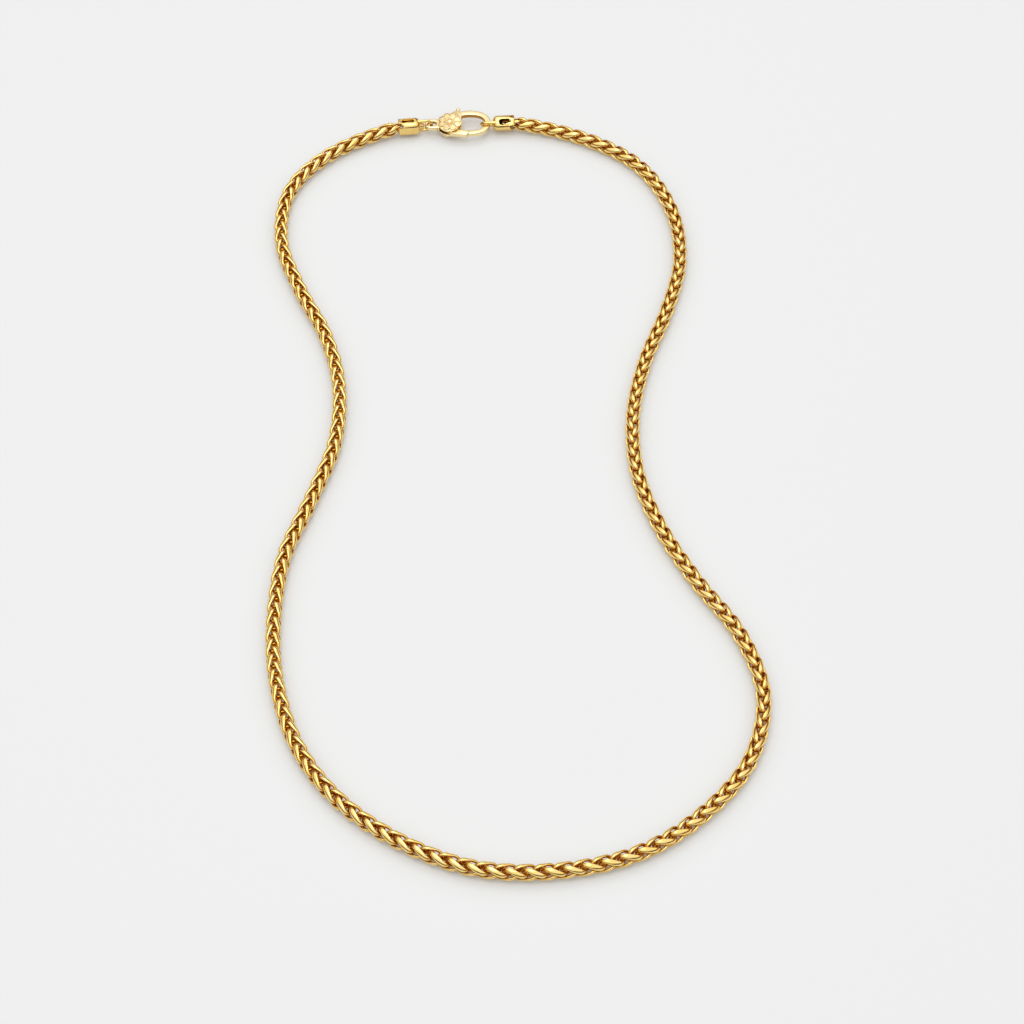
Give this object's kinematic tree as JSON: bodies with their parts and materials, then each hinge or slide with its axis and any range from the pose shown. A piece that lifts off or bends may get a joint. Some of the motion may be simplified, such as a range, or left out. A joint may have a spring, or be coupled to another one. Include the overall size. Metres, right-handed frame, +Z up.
{
  "type": "wheat chain necklace",
  "caption": "Wheat chain necklace laid out as a closed loop, with squared end caps and a sprung lobster clasp.",
  "frame": {"origin": "middle of the necklace's box, on the surface that it lies on", "axes": "+Z up from the surface, +X to the right, +Y from the front of the loop to the clasp"},
  "size_m": [0.1217, 0.2394, 0.0052],
  "materials": {
    "chain_gold": "polished yellow gold",
    "clasp_gold": "satin and polished pale yellow gold"
  },
  "bodies": {
    "root": {"chain": "chain_gold", "end_cap_left": "clasp_gold", "end_cap_right": "clasp_gold", "clasp_body": "clasp_gold", "lever_pin": "clasp_gold"},
    "lever": {"clasp_lever": "clasp_gold"}
  },
  "joints": [
    {"name": "gate_hinge", "type": "hinge", "parent": "root", "child": "lever", "pos_m": [-0.0149, 0.112, 0.00262], "axis": [0, 0, 1], "range_deg": [0, 20], "stiffness_Nm_per_rad": 0.008}
  ]
}
